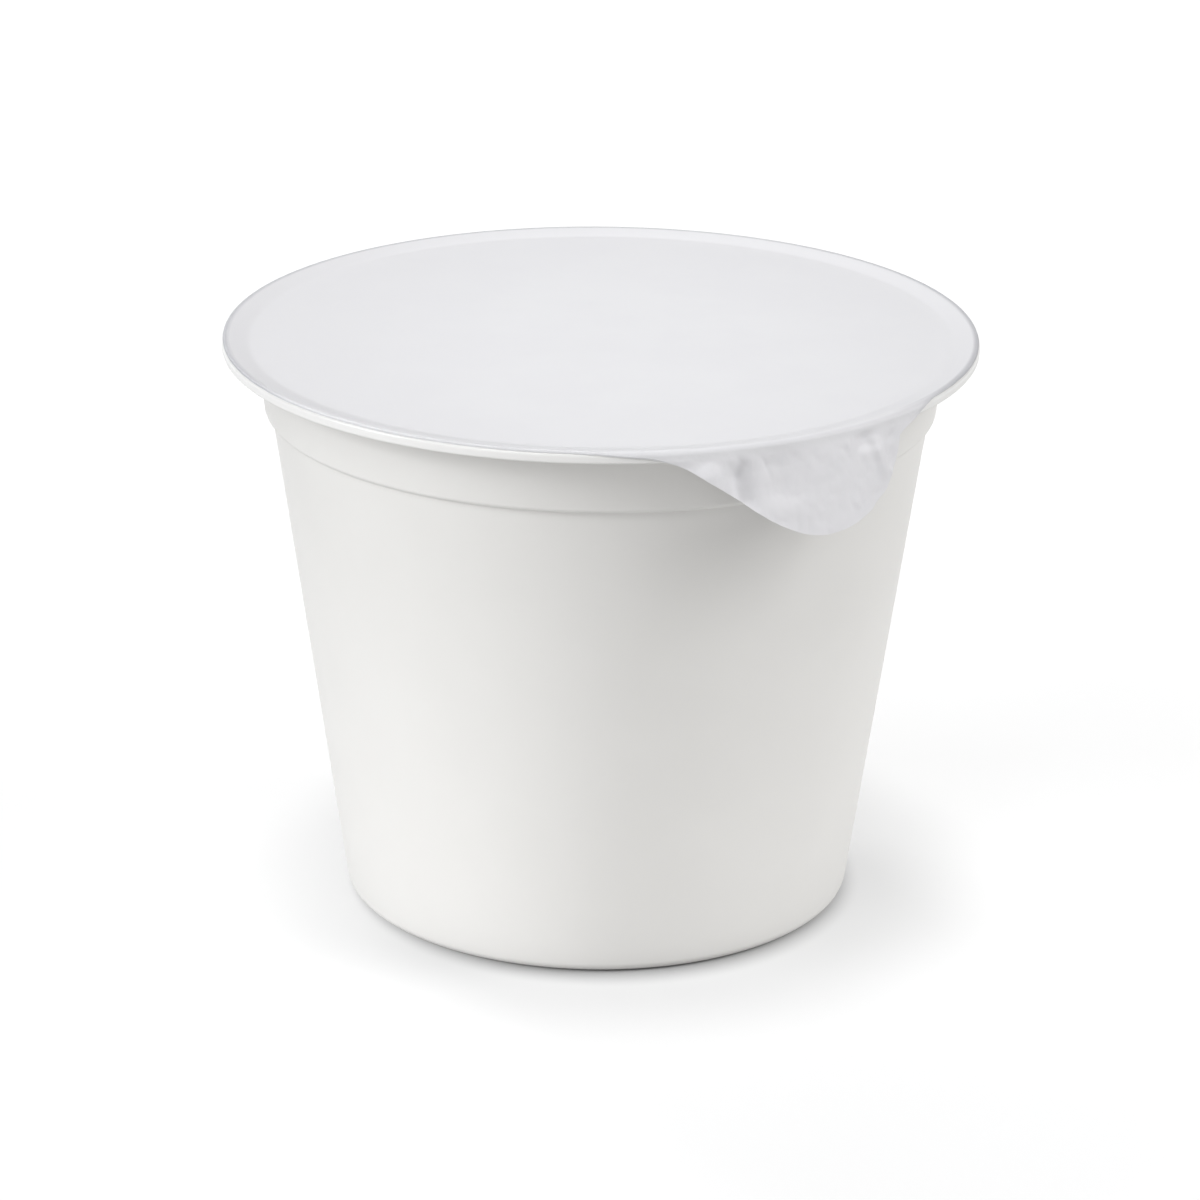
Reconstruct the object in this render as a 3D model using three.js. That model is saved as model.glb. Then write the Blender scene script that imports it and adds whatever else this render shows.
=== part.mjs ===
// Sour cream pot, shut and full: a tapered round pot with a flanged rim under a thin peel-off lid.
// Millimetres, +Z up, origin at the centre of the foot. The lid's pull tab hangs at the front right.
import * as THREE from "three";

// Pot, radii from its axis and heights from the foot
const footRadius = 32.275;
const wallSlope = 0.14266;
const footRounding = 2.5;
const standingRingInner = 27.4;
const recessRadius = 26.4;
const recessDepth = 1.2;
const creaseHeight = 63.95;
const collarRounding = 1.55;
const collarStartTilt = 68.6;
const collarLean = 0.107;
const underRimRounding = 0.5;
const rimRadius = 47.5;
const rimTop = 73.45;
const rimUnderside = 72.1;
const rimUpperRounding = 0.5;
const rimLowerRounding = 0.3;
const seatInner = 46.9;
const fillRadius = 44;
const fillTop = 72.75;
const potSegments = 96;

// Lid, a sheet with a flat middle, a sloping land and an edge that turns down over the rim
const sheetThickness = 0.15;
const landOuter = 46.8;
const landInner = 44.2;
const membraneHeight = 72.9;
const bendStart = 47.1;
const bendRadius = 0.5;
const edgeTurnDown = 0.3;
const membraneRings = [16, 32, 43.2];
const landRings = [45.1, 45.9];

// Pull tab, folded down over the rim, with a hem that leads into it and a fringe that ends it.
// Azimuths are in degrees from the front towards +X, lengths are along the sheet.
const tabLean = 12;
const hemFirst = -5;
const hemLast = 9.5;
const hemReach = 0.74;
const tabFirst = 5.9;
const tabMiddle = 33.3;
const tabReach = 11.2;
const tabFarSpread = 15.5;
const fringeReach = 2.7;
const fringeFirst = 47;
const fringeLast = 56;
const fringePower = 1.65;
const fringeEasing = 3;
const folds = [
  { azimuth: 15.8, width: 2.2, depth: 0.5 },
  { azimuth: 20.4, width: 1.2, depth: -0.7 },
  { azimuth: 45.5, width: 1.8, depth: 0.45 },
];
const foldBegins = 0.6;
const foldFull = 2.6;
const foldFades = 4;
const foldEnds = 11.5;
const tabSector = [-6, 62];
const foldSector = [13, 23];
const foldColumnStep = 1;
const tabColumnStep = 2;
const lidColumnStep = 5;
const bendRings = 6;
const hangRings = 6;

const rad = THREE.MathUtils.degToRad;
const smooth = (value, low, high) => THREE.MathUtils.smoothstep(value, low, high);

// Points of an arc in the half plane, its angles in degrees up from the outward direction.
function arc(radius, centreR, centreZ, from, to, steps) {
  const points = [];
  for (let i = 0; i <= steps; i++) {
    const angle = rad(from + ((to - from) * i) / steps);
    points.push([centreR + radius * Math.cos(angle), centreZ + radius * Math.sin(angle)]);
  }
  return points;
}

// Foot: a shallow recess, the flat ring it stands on and the round turn into the wall.
function footProfile() {
  const wallTilt = THREE.MathUtils.radToDeg(Math.atan(wallSlope));
  const turnR = footRadius + wallSlope * footRounding - footRounding / Math.cos(rad(wallTilt));
  return [
    [0, recessDepth],
    [recessRadius, recessDepth],
    [standingRingInner, 0],
    ...arc(footRounding, turnR, footRounding, -90, -wallTilt, 6),
  ];
}

// Collar: it bulges out of the wall at the crease, then leans up to the underside of the rim.
function collarProfile() {
  const lean = THREE.MathUtils.radToDeg(Math.atan(collarLean));
  const creaseR = footRadius + wallSlope * creaseHeight;
  const centreR = creaseR - collarRounding * Math.cos(rad(collarStartTilt));
  const centreZ = creaseHeight + collarRounding * Math.sin(rad(collarStartTilt));
  const bulge = arc(collarRounding, centreR, centreZ, -collarStartTilt, -lean, 6);
  const [bandR, bandZ] = bulge[bulge.length - 1];
  const innerZ = rimUnderside - underRimRounding;
  const innerR = bandR + collarLean * (innerZ - bandZ);
  const throat = arc(underRimRounding, innerR + underRimRounding, innerZ, 180, 90, 3);
  return [...bulge, ...throat];
}

// Rim: a flange with a softly rounded edge and a narrow flat seat for the lid.
function rimProfile() {
  const low = arc(
    rimLowerRounding,
    rimRadius - rimLowerRounding,
    rimUnderside + rimLowerRounding,
    -90,
    0,
    5,
  );
  const high = arc(rimUpperRounding, rimRadius - rimUpperRounding, rimTop - rimUpperRounding, 0, 90, 4);
  return [...low, ...high, [seatInner, rimTop]];
}

// The pot with what fills it, one solid up to just under the lid.
function potGeometry() {
  const top = [
    [fillRadius, fillTop],
    [0, fillTop],
  ];
  const points = [...footProfile(), ...collarProfile(), ...rimProfile(), ...top];
  const profile = points.map(([r, z]) => new THREE.Vector2(r, z));
  return new THREE.LatheGeometry(profile, potSegments).rotateX(Math.PI / 2);
}

// Length of the tab itself at an azimuth.
function tabLength(azimuth) {
  if (azimuth <= tabFirst || azimuth >= fringeLast) return 0;
  if (azimuth <= tabMiddle) {
    const turn = (Math.PI * (azimuth - tabFirst)) / (tabMiddle - tabFirst);
    return (tabReach * (1 - Math.cos(turn))) / 2;
  }
  const across = (azimuth - tabMiddle) / tabFarSpread;
  const round = tabReach * Math.sqrt(Math.max(0, 1 - across * across));
  const left = Math.min(1, (fringeLast - azimuth) / (fringeLast - fringeFirst));
  const fringe = fringeReach * left ** fringePower;
  return Math.max(round, fringe);
}

// Length of sheet outside the land at an azimuth, to its free edge.
function sheetLength(azimuth) {
  const hem = smooth(azimuth, hemFirst, hemLast) *
    (1 - smooth(azimuth, fringeLast - fringeEasing, fringeLast + fringeEasing));
  return bendStart - landOuter + edgeTurnDown + hemReach * hem + tabLength(azimuth);
}

// Outward shift of the hanging sheet where it is creased.
function foldShift(azimuth, fall) {
  const share = smooth(fall, foldBegins, foldFull) * (1 - smooth(fall, foldFades, foldEnds));
  let shift = 0;
  for (const fold of folds) {
    shift += fold.depth * Math.exp(-(((azimuth - fold.azimuth) / fold.width) ** 2));
  }
  return shift * share;
}

// Underside of the sheet a length outside the land: radius, height and the slope of its outward face.
function sheetSection(azimuth, length) {
  const flat = bendStart - landOuter;
  if (length <= flat) return { r: landOuter + length, z: rimTop, tilt: 90 };
  const across = (azimuth - hemFirst) / (fringeLast + fringeEasing - hemFirst);
  const lean = tabLean * Math.sin(Math.PI * THREE.MathUtils.clamp(across, 0, 1));
  const turn = rad(90 - lean);
  const along = length - flat;
  const angle = Math.min(along / bendRadius, turn);
  const section = {
    r: bendStart + bendRadius * Math.sin(angle),
    z: rimTop - bendRadius * (1 - Math.cos(angle)),
    tilt: 90 - THREE.MathUtils.radToDeg(angle),
  };
  const fall = Math.max(0, along - bendRadius * turn);
  section.r += fall * Math.sin(rad(lean)) + foldShift(azimuth, fall);
  section.z -= fall * Math.cos(rad(lean));
  return section;
}

// Lengths outside the land at which a column has its points, closer together round the bend.
function columnLengths(total) {
  const bendLength = bendStart - landOuter + (bendRadius * Math.PI) / 2;
  const share = Math.min(bendLength / total, bendRings / (bendRings + hangRings));
  const lengths = [];
  for (let i = 0; i <= bendRings; i++) lengths.push((total * share * i) / bendRings);
  for (let i = 1; i <= hangRings; i++) lengths.push(total * (share + ((1 - share) * i) / hangRings));
  return lengths;
}

// One column of the sheet from near the middle to its free edge, as underside and outer face.
function lidColumn(azimuth) {
  const sections = membraneRings.map((r) => ({ r, z: membraneHeight, tilt: 90 }));
  sections.push({ r: landInner, z: membraneHeight, tilt: 90 });
  for (const r of landRings) {
    const rise = (r - landInner) / (landOuter - landInner);
    sections.push({ r, z: membraneHeight + (rimTop - membraneHeight) * rise, tilt: 90 });
  }
  for (const length of columnLengths(sheetLength(azimuth))) {
    sections.push(sheetSection(azimuth, length));
  }
  const across = new THREE.Vector2(Math.sin(rad(azimuth)), -Math.cos(rad(azimuth)));
  return sections.map(({ r, z, tilt }) => {
    const outerR = r + sheetThickness * Math.cos(rad(tilt));
    const outerZ = z + sheetThickness * Math.sin(rad(tilt));
    return {
      under: new THREE.Vector3(across.x * r, across.y * r, z),
      outer: new THREE.Vector3(across.x * outerR, across.y * outerR, outerZ),
    };
  });
}

// Azimuths of the columns, close together at the tab and closest at its deep fold.
function columnAzimuths() {
  const azimuths = [];
  let azimuth = tabSector[0];
  while (azimuth < tabSector[1]) {
    azimuths.push(azimuth);
    const inFold = azimuth >= foldSector[0] && azimuth < foldSector[1];
    azimuth += inFold ? foldColumnStep : tabColumnStep;
  }
  const rest = 360 - (azimuth - tabSector[0]);
  const count = Math.round(rest / lidColumnStep);
  for (let i = 0; i < count; i++) azimuths.push(azimuth + (rest * i) / count);
  return azimuths;
}

// The lid with its tab: a closed skin over two faces of columns and the cut edge between them.
function lidGeometry() {
  const columns = columnAzimuths().map(lidColumn);
  const rows = columns[0].length;
  const positions = [0, 0, membraneHeight, 0, 0, membraneHeight + sheetThickness];
  for (const column of columns) {
    for (const { under, outer } of column) positions.push(...under.toArray(), ...outer.toArray());
  }
  const underAt = (column, row) => 2 + 2 * ((column % columns.length) * rows + row);
  const outerAt = (column, row) => underAt(column, row) + 1;
  const faces = [];
  for (let c = 0; c < columns.length; c++) {
    faces.push(0, underAt(c + 1, 0), underAt(c, 0));
    faces.push(1, outerAt(c, 0), outerAt(c + 1, 0));
    for (let row = 0; row + 1 < rows; row++) {
      faces.push(underAt(c, row), underAt(c + 1, row), underAt(c + 1, row + 1));
      faces.push(underAt(c, row), underAt(c + 1, row + 1), underAt(c, row + 1));
      faces.push(outerAt(c, row), outerAt(c + 1, row + 1), outerAt(c + 1, row));
      faces.push(outerAt(c, row), outerAt(c, row + 1), outerAt(c + 1, row + 1));
    }
    faces.push(underAt(c, rows - 1), underAt(c + 1, rows - 1), outerAt(c + 1, rows - 1));
    faces.push(underAt(c, rows - 1), outerAt(c + 1, rows - 1), outerAt(c, rows - 1));
  }
  const geometry = new THREE.BufferGeometry();
  geometry.setAttribute("position", new THREE.Float32BufferAttribute(positions, 3));
  geometry.setIndex(faces);
  geometry.computeVertexNormals();
  return geometry;
}

const potPlastic = new THREE.MeshStandardMaterial({ color: 0xf0efed, roughness: 0.42, metalness: 0 });
const lidLaminate = new THREE.MeshStandardMaterial({ color: 0xececef, roughness: 0.5, metalness: 0.1 });

const pot = new THREE.Mesh(potGeometry(), potPlastic);
pot.name = "pot";
const lid = new THREE.Mesh(lidGeometry(), lidLaminate);
lid.name = "lid";

const part = new THREE.Group();
part.add(pot, lid);

export default part;
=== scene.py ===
"""A shut sour cream pot: white plastic under a foil laminate lid with a folded pull tab."""

from __future__ import annotations

import logging
import math
from dataclasses import dataclass, field
from enum import Enum
from typing import Any, Sequence

import bpy
import numpy as np
from mathutils import Matrix, Vector, noise

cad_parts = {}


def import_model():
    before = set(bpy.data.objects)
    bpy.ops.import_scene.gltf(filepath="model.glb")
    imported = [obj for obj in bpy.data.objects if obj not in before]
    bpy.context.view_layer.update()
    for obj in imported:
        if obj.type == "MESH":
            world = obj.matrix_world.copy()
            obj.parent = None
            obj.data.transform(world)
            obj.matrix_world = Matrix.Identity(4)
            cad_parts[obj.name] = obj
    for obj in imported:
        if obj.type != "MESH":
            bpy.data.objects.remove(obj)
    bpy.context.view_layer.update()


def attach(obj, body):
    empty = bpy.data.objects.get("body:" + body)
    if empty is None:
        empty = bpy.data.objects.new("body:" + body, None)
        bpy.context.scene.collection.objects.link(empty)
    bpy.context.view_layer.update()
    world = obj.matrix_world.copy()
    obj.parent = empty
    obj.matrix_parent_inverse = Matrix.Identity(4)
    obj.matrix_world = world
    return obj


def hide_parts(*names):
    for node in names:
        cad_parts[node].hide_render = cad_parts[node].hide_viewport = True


LOG = logging.getLogger("sour_cream_pot")
MM = 0.001
# Point attribute for exposed metal at the lid's cut edge, with painted shade along it and a ring of
# painted shade over the rim
BARE_METAL_AND_SHADE = "bare_metal_and_painted_shade"

Point = tuple[float, float]
Corner = tuple[float, float, float]
Rgba = tuple[float, float, float, float]


class Axis(Enum):
    """The frame's axes, by the names of the separating node's outputs."""

    ACROSS = "X"
    BACK = "Y"
    UP = "Z"


class Slot(Enum):
    """Material slot names for the pot and the lid."""

    POT = "pot_plastic"
    LID = "lid_laminate"


def smoothstep(value: np.ndarray | float, low: float, high: float) -> np.ndarray | float:
    """Rises smoothly from 0 at low to 1 at high.

    Args:
        value: Where the curve is read.
        low: Where it leaves 0.
        high: Where it reaches 1.

    Returns:
        The curve's value, with the shape of the input.
    """
    share = np.clip((value - low) / (high - low), 0.0, 1.0)
    return share * share * (3.0 - 2.0 * share)


def rounded(corners: Sequence[Corner], steps: int = 7) -> list[Point]:
    """Rounds the corners of an open outline.

    Args:
        corners: Radius, height and rounding of each corner, in mm.
        steps: How many short sides make up one rounding.

    Returns:
        The outline's points in order.
    """
    outline: list[Point] = []
    last = len(corners) - 1
    for index, (r, z, rounding) in enumerate(corners):
        here = np.array([r, z])
        if rounding <= 0.0 or index in (0, last):
            outline.append((r, z))
            continue
        before = here - np.array(corners[index - 1][:2])
        after = np.array(corners[index + 1][:2]) - here
        before /= np.linalg.norm(before)
        after /= np.linalg.norm(after)
        turn = math.acos(float(np.clip(before @ after, -1.0, 1.0)))
        side = 1.0 if before[0] * after[1] - before[1] * after[0] > 0.0 else -1.0
        start = here - before * rounding * math.tan(turn / 2.0)
        inward = side * np.array([-before[1], before[0]])
        centre = start + inward * rounding
        for step in range(steps + 1):
            swing = turn * step / steps
            point = centre - inward * rounding * math.cos(swing)
            point = point + before * rounding * math.sin(swing)
            outline.append((float(point[0]), float(point[1])))
    return outline


def make_object(name: str, points: np.ndarray, faces: Sequence[Sequence[int]]) -> bpy.types.Object:
    """Makes a smooth mesh object and puts it in the scene.

    Args:
        name: The piece's name.
        points: Its points in mm, one row each.
        faces: The point numbers of each face.

    Returns:
        The new object, in metres.
    """
    mesh = bpy.data.meshes.new(name)
    mesh.from_pydata((points * MM).tolist(), [], [list(face) for face in faces])
    mesh.validate()
    mesh.polygons.foreach_set("use_smooth", [True] * len(mesh.polygons))
    mesh.update()
    piece = bpy.data.objects.new(name, mesh)
    bpy.context.scene.collection.objects.link(piece)
    return piece


@dataclass(frozen=True)
class Wire:
    """One output of a material's node, on which arithmetic adds Math nodes."""

    tree: "Tree"
    socket: bpy.types.NodeSocket

    def math(self, operation: str, *values: Any) -> "Wire":
        """Adds one Math node.

        Args:
            operation: The node's operation.
            values: What goes into its inputs, in order.

        Returns:
            The node's output.
        """
        inputs = dict(enumerate(values))
        return self.tree.add("ShaderNodeMath", {"operation": operation}, inputs)

    def __add__(self, other: Any) -> "Wire":
        """Sum."""
        return self.math("ADD", self, other)

    __radd__ = __add__

    def __mul__(self, other: Any) -> "Wire":
        """Product."""
        return self.math("MULTIPLY", self, other)

    __rmul__ = __mul__

    def __sub__(self, other: Any) -> "Wire":
        """Difference."""
        return self.math("SUBTRACT", self, other)

    def __rsub__(self, other: Any) -> "Wire":
        """Difference from a number."""
        return self.math("SUBTRACT", other, self)

    def __truediv__(self, other: Any) -> "Wire":
        """Quotient."""
        return self.math("DIVIDE", self, other)

    def __rtruediv__(self, other: Any) -> "Wire":
        """Quotient of a number by this."""
        return self.math("DIVIDE", other, self)

    def __abs__(self) -> "Wire":
        """Size without its sign."""
        return self.math("ABSOLUTE", self)

    def between(self, low: float, high: float) -> "Wire":
        """Smooth rise from 0 at low to 1 at high.

        Args:
            low: Where the rise starts.
            high: Where it ends.

        Returns:
            The risen share.
        """
        settings = {"interpolation_type": "SMOOTHSTEP", "clamp": True}
        return self.tree.add(
            "ShaderNodeMapRange", settings, {"Value": self, "From Min": low, "From Max": high}
        )

    def within(self, edges: Point) -> "Wire":
        """Smooth rise from 0 to 1 between two lengths in mm."""
        return self.between(edges[0] * MM, edges[1] * MM)


class Tree:
    """A material built up from one Principled shader."""

    def __init__(self, name: str) -> None:
        """Starts an empty material with its shader.

        Args:
            name: The material's name.
        """
        self.material = bpy.data.materials.new(name)
        self.material.use_nodes = True
        self.nodes = self.material.node_tree.nodes
        self.nodes.clear()
        self.shader = self.nodes.new("ShaderNodeBsdfPrincipled")
        self.output = self.nodes.new("ShaderNodeOutputMaterial")
        self.connect(self.shader.outputs["BSDF"], self.output.inputs["Surface"])

    def connect(self, source: bpy.types.NodeSocket, target: bpy.types.NodeSocket) -> None:
        """Links one output to one input."""
        self.material.node_tree.links.new(source, target)

    def put(self, target: bpy.types.NodeSocket, value: Any) -> None:
        """Gives an input a link or a plain value.

        Args:
            target: The input.
            value: A wire to link, or the value itself.
        """
        if isinstance(value, Wire):
            self.connect(value.socket, target)
        else:
            target.default_value = value

    def add(
        self,
        kind: str,
        settings: dict[str, Any] | None = None,
        inputs: dict[Any, Any] | None = None,
        out: str | int = 0,
    ) -> Wire:
        """Adds any node.

        Args:
            kind: The node's type.
            settings: Its properties, set first.
            inputs: The values or links of its inputs, by name or number.
            out: The name or number of the output that is wanted.

        Returns:
            That output.
        """
        node = self.nodes.new(kind)
        for key, value in (settings or {}).items():
            setattr(node, key, value)
        for key, value in (inputs or {}).items():
            self.put(node.inputs[key], value)
        return Wire(self, node.outputs[out])

    def coordinates(self) -> Wire:
        """Place on the piece, in metres."""
        return self.add("ShaderNodeTexCoord", out="Object")

    def noise(
        self, place: Wire, size_mm: float, detail: float = 3.0, roughness: float = 0.55
    ) -> Wire:
        """Soft random pattern.

        Args:
            place: The coordinates it is read at.
            size_mm: The size of its largest features.
            detail: How many finer layers it has.
            roughness: How strong the finer layers are.

        Returns:
            The pattern, around 0.5.
        """
        inputs = {
            "Vector": place,
            "Scale": 1.0 / (size_mm * MM),
            "Detail": detail,
            "Roughness": roughness,
        }
        return self.add("ShaderNodeTexNoise", {"noise_dimensions": "3D"}, inputs)

    def stretched(self, place: Wire, scale: Corner) -> Wire:
        """Coordinates multiplied axis by axis."""
        return self.add("ShaderNodeVectorMath", {"operation": "MULTIPLY"}, {0: place, 1: scale})

    def axis(self, axis: Axis) -> Wire:
        """One axis of the place on the piece, in metres."""
        return self.add("ShaderNodeSeparateXYZ", {}, {0: self.coordinates()}, out=axis.value)

    def distance(self, middle: Corner, stretch: Corner) -> Wire:
        """Distance of the place on the piece from a middle.

        Args:
            middle: Where the distance starts, in mm.
            stretch: What the distance along each axis is multiplied by.

        Returns:
            The distance, in metres.
        """
        start = tuple(side * MM for side in middle)
        settings = {"operation": "SUBTRACT"}
        offset = self.add("ShaderNodeVectorMath", settings, {0: self.coordinates(), 1: start})
        offset = self.stretched(offset, stretch)
        return self.add("ShaderNodeVectorMath", {"operation": "LENGTH"}, {0: offset}, out="Value")

    def mix(self, share: Wire | float, first: Any, second: Any) -> Wire:
        """Mixes two colours.

        Args:
            share: 0 for the first, 1 for the second.
            first: A colour or a link.
            second: A colour or a link.

        Returns:
            The mixed colour.
        """
        return self.add(
            "ShaderNodeMix", {"data_type": "RGBA"}, {"Factor": share, 6: first, 7: second}, out=2
        )

    def bump(self, height: Wire, depth_mm: float, under: Wire | None = None) -> Wire:
        """Relief without moving the mesh.

        Args:
            height: The relief's pattern.
            depth_mm: The height of a pattern value of 1.
            under: The normal it stands on, if not the mesh's.

        Returns:
            The changed normal.
        """
        inputs: dict[Any, Any] = {"Strength": 1.0, "Distance": depth_mm * MM, "Height": height}
        if under is not None:
            inputs["Normal"] = under
        return self.add("ShaderNodeBump", {}, inputs)

    def feed(self, **inputs: Any) -> None:
        """Sets the shader's inputs, an underscore standing for a space."""
        for name, value in inputs.items():
            self.put(self.shader.inputs[name.replace("_", " ")], value)


@dataclass(frozen=True)
class MouldedPlastic:
    """Satin white plastic with faint flow marks, a fine moulded skin and a painted highlight on its
    rim.
    """

    light: Rgba = (0.662, 0.654, 0.637, 1.0)
    shaded: Rgba = (0.654, 0.646, 0.629, 1.0)
    # Paler colour painted on the rim as a highlight
    rim_painted_highlight: Rgba = (0.700, 0.695, 0.685, 1.0)
    # Heights in mm between which the rim's painted highlight, a paler colour standing in for the
    # light on the rim, and its polish begin
    rim_from: Point = (71.9, 72.3)
    polished_from: Point = (72.7, 73.0)
    polish: float = 0.8
    polish_roughness: float = 0.3
    roughness: float = 0.5
    roughness_swing: float = 0.08
    gloss: float = 0.12
    ior: float = 1.49
    # Sizes and depths of the patterns in mm
    cloud_size: float = 14.0
    cloud_edges: Point = (0.35, 0.65)
    skin_size: float = 0.5
    skin_depth: float = 0.004
    flow_size: float = 9.0
    flow_stretch: Corner = (1.0, 1.0, 0.28)
    flow_depth: float = 0.02

    def make(self) -> bpy.types.Material:
        """Makes the material.

        Returns:
            The finished material.
        """
        tree = Tree("satin_white_plastic")
        place = tree.coordinates()
        height = tree.axis(Axis.UP)
        flow = tree.noise(tree.stretched(place, self.flow_stretch), self.flow_size, detail=2.0)
        skin = tree.noise(place, self.skin_size, detail=4.0, roughness=0.6)
        cloud = tree.noise(place, self.cloud_size, detail=2.0)
        colour = tree.mix(cloud.between(*self.cloud_edges), self.light, self.shaded)
        # Painted highlight: the rim is given a paler colour for the light it catches
        colour = tree.mix(height.within(self.rim_from), colour, self.rim_painted_highlight)
        rough = self.roughness + self.roughness_swing * (skin - 0.5)
        rough = rough + 0.5 * self.roughness_swing * (flow - 0.5)
        broad = tree.bump(flow, self.flow_depth)
        tree.feed(
            Base_Color=colour,
            Roughness=rough,
            Normal=tree.bump(skin, self.skin_depth, broad),
            IOR=self.ior,
            Specular_IOR_Level=self.gloss,
            Coat_Weight=self.polish * height.within(self.polished_from),
            Coat_Roughness=self.polish_roughness,
        )
        return tree.material


@dataclass(frozen=True)
class FoilLaminate:
    """White foil laminate: matt grain, mottled where it hangs, exposed metal at its cut edge
    darkened further by painted shade, a ring of painted shade over the rim, and painted shade
    towards the back and left.
    """

    light: Rgba = (0.617, 0.616, 0.629, 1.0)
    shaded: Rgba = (0.609, 0.607, 0.622, 1.0)
    hanging: Rgba = (0.618, 0.613, 0.630, 1.0)
    worn: Rgba = (0.605, 0.603, 0.620, 1.0)
    # Darker colour painted on as shade towards the back and left of the lid
    painted_shade: Rgba = (0.574, 0.571, 0.585, 1.0)
    # Painted shade: where the face is left brightest, and how far from there it is painted darker,
    # in mm
    painted_shade_middle: Corner = (5.0, -5.0, 0.0)
    painted_shade_stretch: Corner = (1.0, 0.7, 0.0)
    painted_shade_reach: Point = (12.0, 55.0)
    # Exposed metal of the cut edge, with painted shade along it and round the rim, painted weakest
    # at the front where the edge catches light
    bare_and_shade: Rgba = (0.43, 0.43, 0.45, 1.0)
    bare_metallic: float = 0.1
    bare_and_shade_least: float = 0.08
    bare_and_shade_front: Point = (-34.0, -18.0)
    roughness: float = 0.5
    mottle_swing: float = 0.12
    grain_swing: float = 0.1
    gloss: float = 0.15
    ior: float = 1.5
    # Sizes and depths of the patterns in mm
    cloud_size: float = 12.0
    cloud_edges: Point = (0.35, 0.65)
    grain_size: float = 0.22
    grain_depth: float = 0.004
    mottle_size: float = 2.4
    mottle_depth: float = 0.045
    mottle_edges: Point = (0.5, 0.75)
    fibre_size: float = 0.7
    fibre_stretch: Corner = (0.8, 0.8, 1.2)
    fibre_depth: float = 0.014
    # Height in mm from which the sheet lies flat, and the share of the relief that it has there
    flat_share: float = 0.12
    flat_from: Point = (72.0, 72.8)

    def make(self) -> bpy.types.Material:
        """Makes the material.

        Returns:
            The finished material.
        """
        tree = Tree("white_foil_laminate")
        place = tree.coordinates()
        hanging = 1.0 - tree.axis(Axis.UP).within(self.flat_from)
        share = self.flat_share + (1.0 - self.flat_share) * hanging
        along = tree.stretched(place, self.fibre_stretch)
        grain = tree.noise(place, self.grain_size, detail=2.0, roughness=0.5)
        mottle = tree.noise(place, self.mottle_size)
        fibres = tree.noise(along, self.fibre_size, roughness=0.6)
        cloud = tree.noise(place, self.cloud_size, detail=2.0)
        colour = tree.mix(cloud.between(*self.cloud_edges), self.light, self.shaded)
        # Painted shade: the face darkens away from a point near its front right
        painted_shade = tree.distance(self.painted_shade_middle, self.painted_shade_stretch).within(self.painted_shade_reach)
        colour = tree.mix(painted_shade, colour, self.painted_shade)
        colour = tree.mix(hanging, colour, self.hanging)
        colour = tree.mix(share * mottle.between(*self.mottle_edges), colour, self.worn)
        # Painted shade with exposed metal: the cut edge and the ring over the rim are darkened,
        # least at the front and not where the sheet hangs
        bare_and_shade = tree.add("ShaderNodeAttribute", {"attribute_name": BARE_METAL_AND_SHADE}, out="Fac")
        away = tree.axis(Axis.BACK).within(self.bare_and_shade_front)
        bare_and_shade = bare_and_shade * (self.bare_and_shade_least + (1.0 - self.bare_and_shade_least) * away) * (1.0 - hanging)
        rough = self.roughness + self.mottle_swing * (mottle - 0.5)
        rough = rough + self.grain_swing * (grain - 0.5)
        normal = tree.bump(share * mottle, self.mottle_depth)
        normal = tree.bump(share * fibres, self.fibre_depth, normal)
        tree.feed(
            Base_Color=tree.mix(bare_and_shade, colour, self.bare_and_shade),
            Metallic=self.bare_metallic * bare_and_shade,
            Roughness=rough,
            Normal=tree.bump(grain, self.grain_depth, normal),
            IOR=self.ior,
            Specular_IOR_Level=self.gloss,
        )
        return tree.material


@dataclass(frozen=True)
class PaleFloor:
    """Matt pale ground that glows away from the pot, with painted shadow: the glow is low in rings
    round the foot and dimmed further out except behind.
    """

    colour: Rgba = (0.3, 0.3, 0.3, 1.0)
    roughness: float = 0.9
    # Middles of the two rings of painted shadow round the foot, where the glow stays low, and their
    # reach, in mm
    near_middle: Corner = (0.9, -1.1, 0.0)
    wide_middle: Corner = (2.6, -1.0, 0.0)
    stretch: Corner = (1.06, 1.0, 1.0)
    near_glow: float = 0.47
    near_reach: Point = (29.6, 35.6)
    wide_glow: float = 0.16
    wide_reach: Point = (36.0, 56.0)
    # Where the glow ends at the front and the sides, and where it starts again at the sides
    dimmed: Point = (112.0, 145.0)
    side_glow: float = 0.47
    side_reach: Point = (270.0, 340.0)
    quarter_edge: Point = (-0.15, 0.2)
    back_shift: float = 45.0

    def quarter(self, along: Wire, across: Wire, reach: Wire) -> Wire:
        """Share of the ground that lies in one direction, with soft edges.

        Args:
            along: Distance in that direction, in metres.
            across: Distance sideways, in metres.
            reach: Distance from the pot, in metres.

        Returns:
            1 in the quarter, 0 outside it.
        """
        return ((along - abs(across)) / reach).between(*self.quarter_edge)

    def make(self) -> bpy.types.Material:
        """Makes the material.

        Returns:
            The finished material.
        """
        tree = Tree("pale_floor")
        near = tree.distance(self.near_middle, self.stretch)
        reach = tree.distance(self.wide_middle, self.stretch)
        right = tree.axis(Axis.ACROSS)
        back = tree.axis(Axis.BACK)
        # Painted shadow: the glow rises from nothing at the foot, which shades the ground round the
        # pot
        glow = self.near_glow * near.within(self.near_reach)
        glow = glow + self.wide_glow * reach.within(self.wide_reach)
        dimmed = reach.within(self.dimmed)
        behind = self.quarter(back + self.back_shift * MM, right, reach)
        glow = glow * (1.0 - dimmed * (1.0 - behind))
        far = reach.within(self.side_reach)
        glow = glow + self.side_glow * far * self.quarter(right, back, reach) * (1.0 - behind)
        tree.feed(
            Base_Color=self.colour,
            Roughness=self.roughness,
            Emission_Color=tree.mix(glow, (0.0, 0.0, 0.0, 1.0), (1.0, 1.0, 1.0, 1.0)),
            Emission_Strength=1.0,
        )
        return tree.material


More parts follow.
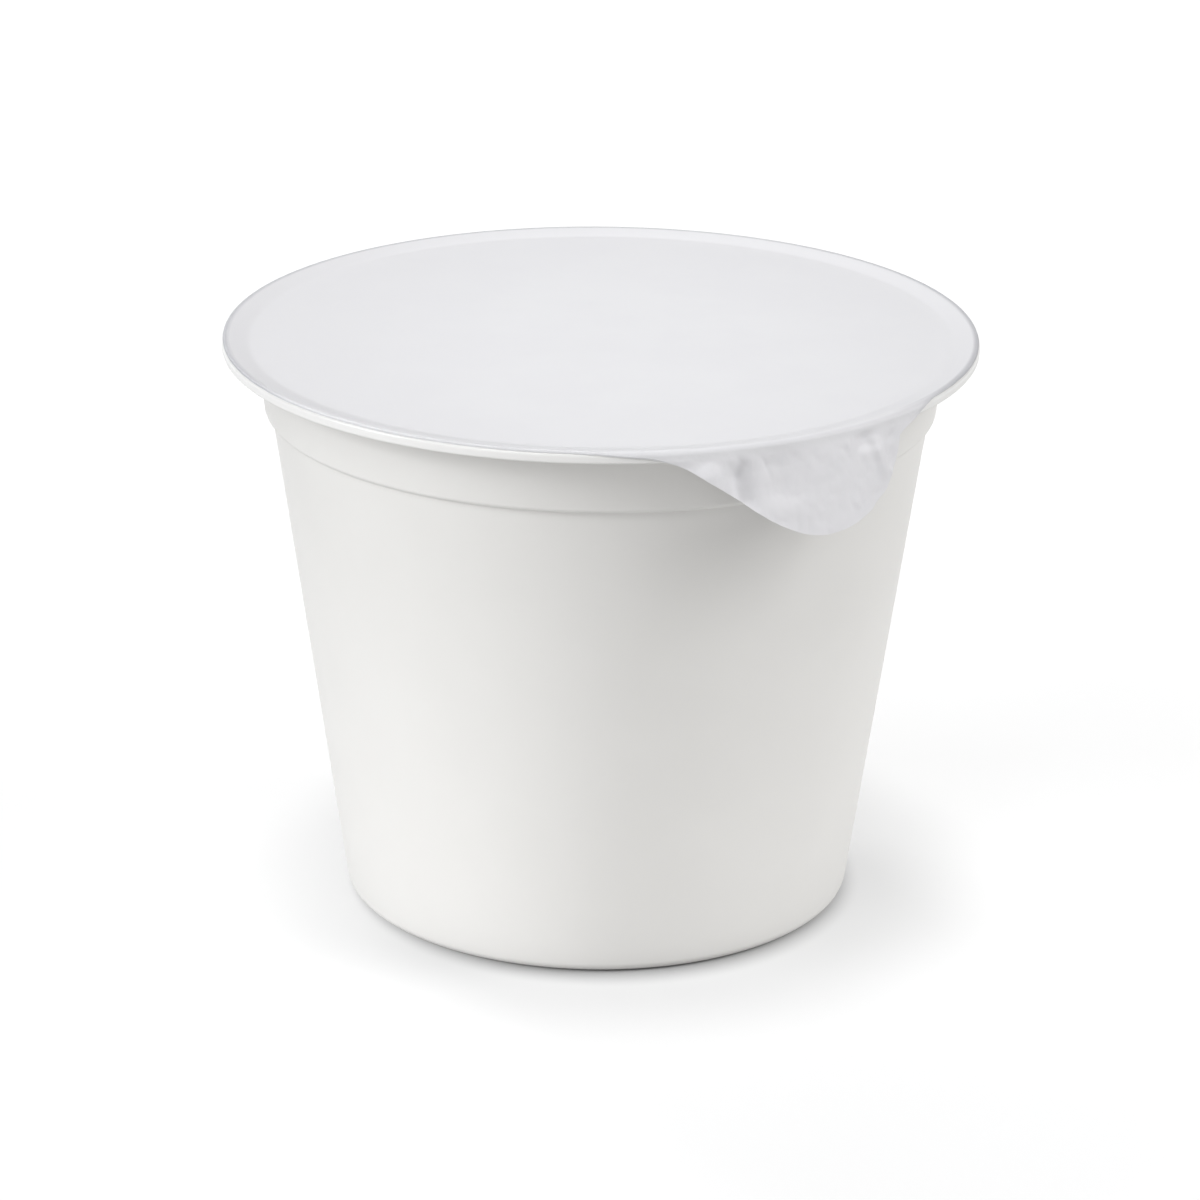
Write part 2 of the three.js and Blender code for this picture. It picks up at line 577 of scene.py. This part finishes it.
@dataclass
class Pot:
    """The tapered pot with its collar and rim, sizes in mm."""

    foot_radius: float = 32.275
    wall_slope: float = 0.14266
    foot_rounding: float = 1.5
    recess_radius: float = 26.4
    recess_rounding: float = 0.7
    standing_ring_inner: float = 27.4
    ring_rounding: float = 0.5
    recess_depth: float = 1.2
    crease_height: float = 63.95
    crease_rounding: float = 0.14
    collar_rounding: float = 0.8
    collar_start_tilt: float = 68.6
    collar_step: float = 0.94
    collar_lean: float = 0.107
    throat_rounding: float = 0.5
    rim_radius: float = 47.5
    rim_top: float = 73.45
    rim_underside: float = 72.1
    rim_upper_rounding: float = 0.5
    rim_lower_rounding: float = 0.3
    seat_inner: float = 46.9
    seat_rounding: float = 0.2
    fill_radius: float = 44.0
    fill_top: float = 72.75
    segments: int = 288
    wall_rows: int = 40
    # Height of the lowest wall row, in foot roundings
    wall_start: float = 1.5
    finish: MouldedPlastic = field(default_factory=MouldedPlastic)

    def profile(self) -> list[Point]:
        """Outline from the middle of the underside to the middle of the top.

        Returns:
            Radius and height of each point.
        """
        crease_r = self.foot_radius + self.wall_slope * self.crease_height
        tilt = math.radians(self.collar_start_tilt)
        bulge_r = crease_r + self.collar_step * math.sin(tilt)
        bulge_z = self.crease_height + self.collar_step * math.cos(tilt)
        throat_r = bulge_r + self.collar_lean * (self.rim_underside - bulge_z)
        wall = []
        for row in range(1, self.wall_rows):
            z = self.crease_height * row / self.wall_rows
            if z > self.wall_start * self.foot_rounding:
                wall.append((self.foot_radius + self.wall_slope * z, z, 0.0))
        return rounded(
            [
                (0.0, self.recess_depth, 0.0),
                (self.recess_radius, self.recess_depth, self.recess_rounding),
                (self.standing_ring_inner, 0.0, self.ring_rounding),
                (self.foot_radius, 0.0, self.foot_rounding),
                *wall,
                (crease_r, self.crease_height, self.crease_rounding),
                (bulge_r, bulge_z, self.collar_rounding),
                (throat_r, self.rim_underside, self.throat_rounding),
                (self.rim_radius, self.rim_underside, self.rim_lower_rounding),
                (self.rim_radius, self.rim_top, self.rim_upper_rounding),
                (self.seat_inner, self.rim_top, self.seat_rounding),
                (self.fill_radius, self.fill_top, self.seat_rounding),
                (0.0, self.fill_top, 0.0),
            ]
        )

    def build(self) -> bpy.types.Object:
        """Turns the outline round the axis.

        Returns:
            The pot's object.
        """
        outline = self.profile()
        rings = outline[1:-1]
        turns = np.arange(self.segments) * 2.0 * math.pi / self.segments
        points = [(0.0, 0.0, outline[0][1]), (0.0, 0.0, outline[-1][1])]
        for r, z in rings:
            points.extend((r * math.cos(a), r * math.sin(a), z) for a in turns)
        faces: list[Sequence[int]] = []
        for ring in range(len(rings) - 1):
            low, high = 2 + ring * self.segments, 2 + (ring + 1) * self.segments
            for a in range(self.segments):
                b = (a + 1) % self.segments
                faces.append((low + a, low + b, high + b, high + a))
        top = 2 + (len(rings) - 1) * self.segments
        for a in range(self.segments):
            b = (a + 1) % self.segments
            faces.append((0, 2 + b, 2 + a))
            faces.append((1, top + a, top + b))
        return make_object("pot_shell", np.array(points), faces)

    def dress(self, piece: bpy.types.Object) -> None:
        """Gives the pot its plastic and its place in the frame.

        Args:
            piece: The pot's object.
        """
        piece.data.materials.append(self.finish.make())
        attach(piece, "root")
        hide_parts("pot")


@dataclass(frozen=True)
class Fold:
    """A fold of the hanging tab, in degrees of azimuth and mm of sheet below the bend's start."""

    azimuth: float
    width: float
    depth: float
    top: float
    foot: float
    slant: float = 0.0
    crisp: bool = False
    easing: float = 0.3

    def shift(self, azimuth: float, length: np.ndarray) -> np.ndarray:
        """Outward shift that this fold gives the sheet.

        Args:
            azimuth: Where the sheet hangs.
            length: Lengths of sheet outside the start of the bend.

        Returns:
            The shift at each length, in mm.
        """
        ease = self.easing * (self.foot - self.top)
        run = smoothstep(length, self.top - ease, self.top + ease)
        run = run * (1.0 - smoothstep(length, self.foot - ease, self.foot + ease))
        across = np.abs(azimuth - self.azimuth - self.slant * (length - self.top)) / self.width
        if self.crisp:
            return self.depth * run * np.clip(1.0 - across, 0.0, 1.0)
        return self.depth * run * np.exp(-across * across)


@dataclass
class Lid:
    """The thin lid with its tab, sizes in mm and azimuths in degrees from the front towards +X."""

    # Sheet, its sloping land and its edge
    thickness: float = 0.15
    land_outer: float = 46.8
    land_inner: float = 44.2
    land_softness: float = 0.4
    rim_top: float = 73.45
    membrane: float = 72.9
    bend_start: float = 47.1
    bend_radius: float = 0.5
    edge_turn_down: float = 0.3
    # Tab, with the hem that leads into it and the fringe that ends it
    lean: float = 12.0
    hem_first: float = -5.0
    hem_last: float = 9.5
    hem_reach: float = 0.74
    tab_first: float = 5.9
    tab_middle: float = 33.3
    tab_reach: float = 11.2
    tab_far_spread: float = 15.5
    fringe_reach: float = 2.7
    fringe_first: float = 47.0
    fringe_last: float = 56.0
    fringe_power: float = 1.65
    fringe_easing: float = 3.0
    folds: tuple[Fold, ...] = (
        Fold(11.3, 2.0, -0.25, 1.9, 4.0),
        Fold(15.4, 1.9, 0.60, 2.5, 5.8),
        Fold(18.9, 0.9, 0.14, 1.2, 3.6, slant=0.25),
        Fold(19.9, 1.5, -0.95, 2.7, 8.4, slant=0.12),
        Fold(23.2, 1.2, 0.18, 2.0, 6.0),
        Fold(21.9, 0.45, 0.08, 1.9, 4.3, crisp=True),
        Fold(23.6, 0.5, -0.07, 2.0, 4.4, slant=0.5, crisp=True),
        Fold(25.5, 4.4, -0.55, 1.8, 7.4),
        Fold(41.6, 2.2, -0.36, 1.4, 3.2),
        Fold(43.2, 1.1, 0.46, 2.4, 7.0, slant=0.3),
        Fold(46.4, 1.2, -0.24, 1.6, 6.2),
        Fold(46.0, 0.5, 0.16, 6.3, 7.3, crisp=True),
        Fold(37.8, 0.6, 0.12, 1.8, 2.8, crisp=True),
        Fold(39.3, 0.6, 0.07, 7.2, 8.4, slant=0.5),
        Fold(38.1, 0.6, 0.07, 8.8, 10.2, slant=0.6),
    )
    # Deepest that a fold may go towards the pot, deeper once it hangs below the rim
    fold_room: float = 0.06
    fold_slope: float = 0.2
    fold_free_below: float = 1.1
    fold_free_slope: float = 1.2
    # Uneven cut edge and small relief, a fineness being in waves per mm
    cut_wander: float = 0.03
    cut_fineness: float = 1.3
    torn_wander: float = 0.35
    torn_fineness: float = 0.75
    torn_from: Point = (38.0, 44.0)
    torn_to: Point = (50.0, 55.0)
    wander_radius: float = 48.0
    wave_inside: Point = (34.0, 43.0)
    wave_size: float = 17.0
    wave_height: float = 0.05
    ripple_size: float = 5.0
    ripple_height: float = 0.014
    nick_depth: float = 0.02
    nick_fineness: float = 2.2
    crumple_reach: Point = (0.7, 2.4)
    crumple_height: float = 0.15
    crumple_fineness: float = 0.34
    crumple_middle: float = 0.2
    crease_height: float = 0.06
    crease_fineness: float = 0.95
    # Mesh: columns round the axis and rows along each
    tab_sector: Point = (-8.0, 62.0)
    tab_step: float = 0.2
    far_step: float = 1.5
    membrane_rows: int = 22
    land_rows: int = 12
    bend_rows: int = 14
    hang_rows: int = 42
    # Exposed metal with painted shade at the cut edge, a ring of painted shade over the rim, and
    # the thinner edge of the short sheet
    bare_and_shade_reach: Point = (0.35, 0.8)
    shade_ring_reach: Point = (0.2, 0.5)
    shade_ring_share: float = 0.7
    taper_reach: float = 0.16
    taper_share: float = 0.8
    taper_lengths: Point = (0.9, 2.2)
    finish: FoilLaminate = field(default_factory=FoilLaminate)

    def tab_length(self, azimuth: float) -> float:
        """Length of the tab itself.

        Args:
            azimuth: Where it is measured.

        Returns:
            The length, 0 off the tab.
        """
        if azimuth <= self.tab_first or azimuth >= self.fringe_last:
            return 0.0
        if azimuth <= self.tab_middle:
            turn = math.pi * (azimuth - self.tab_first) / (self.tab_middle - self.tab_first)
            return self.tab_reach * (1.0 - math.cos(turn)) / 2.0
        across = (azimuth - self.tab_middle) / self.tab_far_spread
        round_part = self.tab_reach * math.sqrt(max(0.0, 1.0 - across * across))
        share = min(1.0, (self.fringe_last - azimuth) / (self.fringe_last - self.fringe_first))
        return max(round_part, self.fringe_reach * share**self.fringe_power)

    def length(self, azimuth: float) -> float:
        """Length of sheet outside the land, to its free edge.

        Args:
            azimuth: Where it is measured.

        Returns:
            The length along the sheet.
        """
        last = self.fringe_last
        hem = smoothstep(azimuth, self.hem_first, self.hem_last)
        hem *= 1.0 - smoothstep(azimuth, last - self.fringe_easing, last + self.fringe_easing)
        own = self.bend_start - self.land_outer + self.edge_turn_down
        length = own + self.hem_reach * hem + self.tab_length(azimuth)
        return float(length + self.edge_wander(azimuth))

    def edge_wander(self, azimuth: float) -> float:
        """Unevenness of the cut edge, more where the tab is crumpled.

        Args:
            azimuth: Where it is measured.

        Returns:
            The length that it adds, in mm.
        """
        turn = math.radians(azimuth)
        place = Vector((math.sin(turn), -math.cos(turn), 0.0)) * self.wander_radius
        crumpled = float(smoothstep(azimuth, *self.torn_from))
        crumpled *= float(1.0 - smoothstep(azimuth, *self.torn_to))
        wander = self.cut_wander * noise.noise(place * self.cut_fineness)
        torn = noise.noise(place * self.torn_fineness)
        return wander + self.torn_wander * crumpled * torn

    def column(self, azimuth: float) -> np.ndarray:
        """Places of one column's points, as lengths outside the land, closer round the bend.

        Args:
            azimuth: Where the column is.

        Returns:
            The lengths in order.
        """
        total = self.length(azimuth)
        bend = self.bend_start - self.land_outer + self.bend_radius * math.pi / 2.0
        share = min(bend / total, self.bend_rows / (self.bend_rows + self.hang_rows))
        near = np.linspace(0.0, share, self.bend_rows + 1)
        far = np.linspace(share, 1.0, self.hang_rows + 1)[1:]
        return total * np.concatenate([near, far])

    def lean_at(self, azimuth: float) -> float:
        """Flare of the hanging sheet, most in the middle of the tab.

        Args:
            azimuth: Where it hangs.

        Returns:
            The flare in radians.
        """
        span = self.fringe_last + self.fringe_easing - self.hem_first
        place = min(max((azimuth - self.hem_first) / span, 0.0), 1.0)
        return math.radians(self.lean * math.sin(math.pi * place))

    def section(self, azimuth: float) -> tuple[np.ndarray, np.ndarray, np.ndarray, np.ndarray]:
        """Underside of the sheet along one column, from the middle to the free edge.

        Args:
            azimuth: Where the column is.

        Returns:
            Radius, height, tilt of the outward face in radians and length outside the bend's start.
        """
        land_start = self.land_inner - self.land_softness
        flat_r = np.linspace(0.0, land_start, self.membrane_rows + 1)[1:]
        land_r = np.linspace(land_start, self.land_outer, self.land_rows + 1)[1:-1]
        inner_r = np.concatenate([flat_r, land_r])
        rise = (inner_r - self.land_inner) / (self.land_outer - self.land_inner)
        soft = self.land_softness / (self.land_outer - self.land_inner)
        eased = np.clip(rise + soft, 0.0, None) ** 2 / (4.0 * soft)
        rise = np.where(rise < soft, eased, rise)
        inner_z = self.membrane + (self.rim_top - self.membrane) * rise
        along = self.column(azimuth) - (self.bend_start - self.land_outer)
        lean = self.lean_at(azimuth)
        turn = math.pi / 2.0 - lean
        angle = np.clip(along / self.bend_radius, 0.0, turn)
        fall = np.clip(along - self.bend_radius * turn, 0.0, None)
        r = self.bend_start + np.minimum(along, 0.0) + self.bend_radius * np.sin(angle)
        z = self.rim_top - self.bend_radius * (1.0 - np.cos(angle))
        shift = np.zeros_like(along)
        if self.tab_sector[0] < azimuth < self.tab_sector[1]:
            shift = sum(fold.shift(azimuth, along) for fold in self.folds)
        below = np.clip(fall - self.fold_free_below, 0.0, None)
        deepest = -self.fold_room - self.fold_slope * fall - self.fold_free_slope * below
        r = r + fall * math.sin(lean) + np.maximum(shift, deepest)
        z = z - fall * math.cos(lean)
        tilt = np.concatenate([np.full(inner_r.shape, math.pi / 2.0), math.pi / 2.0 - angle])
        outside = np.concatenate([np.full(inner_r.shape, -1.0), along])
        return np.concatenate([inner_r, r]), np.concatenate([inner_z, z]), tilt, outside

    def azimuths(self) -> np.ndarray:
        """Azimuths of the columns, close together where the tab is.

        Returns:
            The azimuths in degrees.
        """
        first, last = self.tab_sector
        near = np.arange(first, last, self.tab_step)
        rest = 360.0 - (last - first)
        count = round(rest / self.far_step)
        return np.concatenate([near, last + np.arange(count) * rest / count])

    def relief(self, place: Vector, radius: float, outside: float, bend: float) -> float:
        """Small unevenness of the sheet, outward from its face.

        Args:
            place: The point in mm.
            radius: Its distance from the axis.
            outside: Length of sheet outside the start of the bend.
            bend: How far the sheet has turned over the rim, 0 to 1.

        Returns:
            The shift in mm.
        """
        middle = 1.0 - float(smoothstep(radius, *self.wave_inside))
        wave = self.wave_height * middle * noise.noise(place / self.wave_size)
        wave += self.ripple_height * middle * noise.noise(place / self.ripple_size)
        if bend <= 0.0:
            return wave
        # Nicks only go inwards, so the sheet stays inside the solid's box
        nick = self.nick_depth * bend * min(noise.noise(place * self.nick_fineness), 0.0)
        hanging = float(smoothstep(outside, *self.crumple_reach))
        crumple = abs(noise.noise(place * self.crumple_fineness)) - self.crumple_middle
        fine = noise.noise(place * self.crease_fineness)
        return wave + nick + hanging * (self.crumple_height * crumple + self.crease_height * fine)

    def bare_and_shade_share(self, outside: np.ndarray) -> np.ndarray:
        """How much exposed metal and painted shade is put along one column: both at its cut edge,
        and painted shade alone in a ring round the rim.

        Args:
            outside: Lengths of sheet outside the start of the bend.

        Returns:
            The share at each length.
        """
        # Painted shade: a darker ring where the sheet turns over the rim
        ring = self.shade_ring_share * (1.0 - smoothstep(np.abs(outside), *self.shade_ring_reach))
        return np.maximum(ring, 1.0 - smoothstep(outside[-1] - outside, *self.bare_and_shade_reach))

    def thickness_along(self, outside: np.ndarray) -> np.ndarray:
        """Thickness of the sheet along one column, less at the edge where the sheet is short.

        Args:
            outside: Lengths of sheet outside the start of the bend.

        Returns:
            The thickness at each length.
        """
        taper = 1.0 - smoothstep(outside[-1] - outside, 0.0, self.taper_reach)
        taper = taper * (1.0 - smoothstep(outside[-1], *self.taper_lengths))
        return self.thickness * (1.0 - self.taper_share * taper)

    def skin(self, count: int, rows: int) -> list[Sequence[int]]:
        """Faces of the closed sheet: its underside, its outer face and the cut edge between them.

        Args:
            count: How many columns it has.
            rows: How many points each column has.

        Returns:
            The point numbers of each face.
        """
        size = count * rows
        last = rows - 1
        faces: list[Sequence[int]] = []
        for a in range(count):
            here, there = a * rows, ((a + 1) % count) * rows
            faces.append((2 * size, there, here))
            faces.append((2 * size + 1, size + here, size + there))
            for row in range(last):
                faces.append((here + row, there + row, there + row + 1, here + row + 1))
                near, far = size + here + row, size + there + row
                faces.append((near, near + 1, far + 1, far))
            faces.append((here + last, there + last, size + there + last, size + here + last))
        return faces

    def build(self) -> bpy.types.Object:
        """Lays the columns round the axis as one closed thin sheet.

        Returns:
            The lid's object.
        """
        azimuths = self.azimuths()
        under: list[Corner] = []
        outer: list[Corner] = []
        bare_and_shade: list[float] = []
        rows = 0
        for azimuth in azimuths:
            turn = math.radians(azimuth)
            out_x, out_y = math.sin(turn), -math.cos(turn)
            r, z, tilt, outside = self.section(float(azimuth))
            rows = len(r)
            bare_and_shade.extend(self.bare_and_shade_share(outside))
            thickness = self.thickness_along(outside)
            for radius, height, face, beyond, thick in zip(r, z, tilt, outside, thickness):
                normal_r, normal_z = math.cos(face), math.sin(face)
                place = Vector((out_x * radius, out_y * radius, height))
                shift = self.relief(place, radius, beyond, normal_r)
                low_r, low_z = radius + shift * normal_r, height + shift * normal_z
                high_r, high_z = low_r + thick * normal_r, low_z + thick * normal_z
                under.append((out_x * low_r, out_y * low_r, low_z))
                outer.append((out_x * high_r, out_y * high_r, high_z))
        poles = [(0.0, 0.0, self.membrane), (0.0, 0.0, self.membrane + self.thickness)]
        faces = self.skin(len(azimuths), rows)
        piece = make_object("lid_sheet", np.array(under + outer + poles), faces)
        mark = piece.data.attributes.new(BARE_METAL_AND_SHADE, "FLOAT", "POINT")
        mark.data.foreach_set("value", [*bare_and_shade, *bare_and_shade, 0.0, 0.0])
        self.sharpen_cut_edge(piece, len(azimuths), rows)
        return piece

    def sharpen_cut_edge(self, piece: bpy.types.Object, count: int, rows: int) -> None:
        """Keeps the cut edge crisp.

        Args:
            piece: The lid's object.
            count: How many columns it has.
            rows: How many points each column has.
        """
        size = count * rows
        rim = {a * rows + rows - 1 for a in range(count)}
        rim |= {size + index for index in rim}
        sharp = [edge.vertices[0] in rim and edge.vertices[1] in rim for edge in piece.data.edges]
        attribute = piece.data.attributes.new("sharp_edge", "BOOLEAN", "EDGE")
        attribute.data.foreach_set("value", sharp)

    def dress(self, piece: bpy.types.Object) -> None:
        """Gives the lid its laminate and its place in the frame.

        Args:
            piece: The lid's object.
        """
        piece.data.materials.append(self.finish.make())
        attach(piece, "root")
        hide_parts("lid")


@dataclass(frozen=True)
class Softbox:
    """A square studio light aimed at the pot, in degrees, metres and watts."""

    name: str
    azimuth: float
    elevation: float
    power: float
    size: float = 0.6
    distance: float = 1.6
    colour: Corner = (1.0, 1.0, 1.0)

    def build(self, aim: Vector) -> bpy.types.Object:
        """Hangs the light.

        Args:
            aim: What it points at.

        Returns:
            The light's object.
        """
        turn, rise = math.radians(self.azimuth), math.radians(self.elevation)
        level = math.cos(rise)
        away = Vector((math.sin(turn) * level, -math.cos(turn) * level, math.sin(rise)))
        lamp = bpy.data.lights.new(self.name, "AREA")
        lamp.shape = "SQUARE"
        lamp.size = self.size
        lamp.energy = self.power
        lamp.color = self.colour
        light = bpy.data.objects.new(self.name, lamp)
        light.location = aim + away * self.distance
        light.rotation_euler = away.to_track_quat("Z", "Y").to_euler()
        bpy.context.scene.collection.objects.link(light)
        return light


@dataclass
class Studio:
    """Floor, lights and camera, in metres and radians."""

    aim: Vector = field(default_factory=lambda: Vector((0.0, 0.0, 0.035)))
    floor_half: float = 4.0
    room_light: float = 0.0
    camera_distance: float = 0.6
    camera_height: float = 0.2607
    camera_yaw: float = 0.00029
    camera_pitch: float = 0.356
    camera_roll: float = 0.00864
    focal_pixels: float = 4997.0
    frame_pixels: float = 1200.0
    sensor_mm: float = 36.0
    boxes: tuple[Softbox, ...] = (
        Softbox("front_left_floor_box", -30.0, 5.0, 3.2),
        Softbox("front_floor_box", 0.0, 5.0, 1.66),
        Softbox("front_left_low_box", -30.0, 22.0, 1.18),
        Softbox("left_front_low_box", -60.0, 22.0, 4.09),
        Softbox("left_low_box", -75.0, 22.0, 10.97, colour=(0.95, 0.972, 1.0)),
        Softbox("front_low_box", 0.0, 22.0, 1.75),
        Softbox("right_low_box", 90.0, 22.0, 13.06),
        Softbox("back_left_box", -150.0, 42.0, 12.11),
        Softbox("back_box", -180.0, 42.0, 3.14),
        Softbox("front_left_box", -30.0, 42.0, 4.49),
        Softbox("left_front_box", -45.0, 42.0, 3.31),
        Softbox("right_front_box", 75.0, 42.0, 7.81),
        Softbox("front_high_box", 0.0, 62.0, 3.83),
        Softbox("top_box", 0.0, 85.0, 0.73),
    )

    def build_floor(self) -> bpy.types.Object:
        """Lays the floor, which is not part of the object.

        Returns:
            The floor's object.
        """
        half = self.floor_half / MM
        corners = [(-half, -half, 0.0), (half, -half, 0.0), (half, half, 0.0), (-half, half, 0.0)]
        floor = make_object("floor", np.array(corners), [(0, 1, 2, 3)])
        floor.data.materials.append(PaleFloor().make())
        return floor

    def build_room(self) -> None:
        """Keeps the room itself dark, so that only the boxes and the floor give light."""
        world = bpy.data.worlds.new("room")
        world.use_nodes = True
        background = world.node_tree.nodes["Background"]
        background.inputs["Strength"].default_value = self.room_light
        bpy.context.scene.world = world

    def build_camera(self) -> bpy.types.Object:
        """Sets the camera where the picture was taken from.

        Returns:
            The camera's object.
        """
        yaw, pitch, roll = self.camera_yaw, self.camera_pitch, self.camera_roll
        right = Vector((math.cos(yaw), -math.sin(yaw), 0.0))
        level = math.cos(pitch)
        ahead = Vector((math.sin(yaw) * level, math.cos(yaw) * level, -math.sin(pitch)))
        above = right.cross(ahead)
        level_right = right * math.cos(roll) + above * math.sin(roll)
        level_above = above * math.cos(roll) - right * math.sin(roll)
        data = bpy.data.cameras.new("camera")
        data.sensor_width = self.sensor_mm
        data.lens = self.focal_pixels / self.frame_pixels * self.sensor_mm
        camera = bpy.data.objects.new("camera", data)
        turn = Matrix((level_right, level_above, -ahead)).transposed().to_4x4()
        place = Vector((0.0, -self.camera_distance, self.camera_height))
        camera.matrix_world = Matrix.Translation(place) @ turn
        bpy.context.scene.collection.objects.link(camera)
        bpy.context.scene.camera = camera
        return camera

    def build(self) -> None:
        """Sets up the whole studio."""
        settings = bpy.context.scene.view_settings
        settings.view_transform = "Standard"
        settings.look = "None"
        self.build_floor()
        self.build_room()
        for box in self.boxes:
            box.build(self.aim)
        self.build_camera()


def report(piece: bpy.types.Object) -> None:
    """Logs a piece's size and face count."""
    size = ", ".join(f"{side / MM:.1f}" for side in piece.dimensions)
    LOG.info("%s: %s mm, %d faces", piece.name, size, len(piece.data.polygons))


def main() -> None:
    """Builds the pot, its lid and the studio."""
    logging.basicConfig(level=logging.INFO, format="%(name)s: %(message)s")
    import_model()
    for maker in (Pot(), Lid()):
        piece = maker.build()
        maker.dress(piece)
        report(piece)
    Studio().build()


if __name__ == "__main__":
    main()
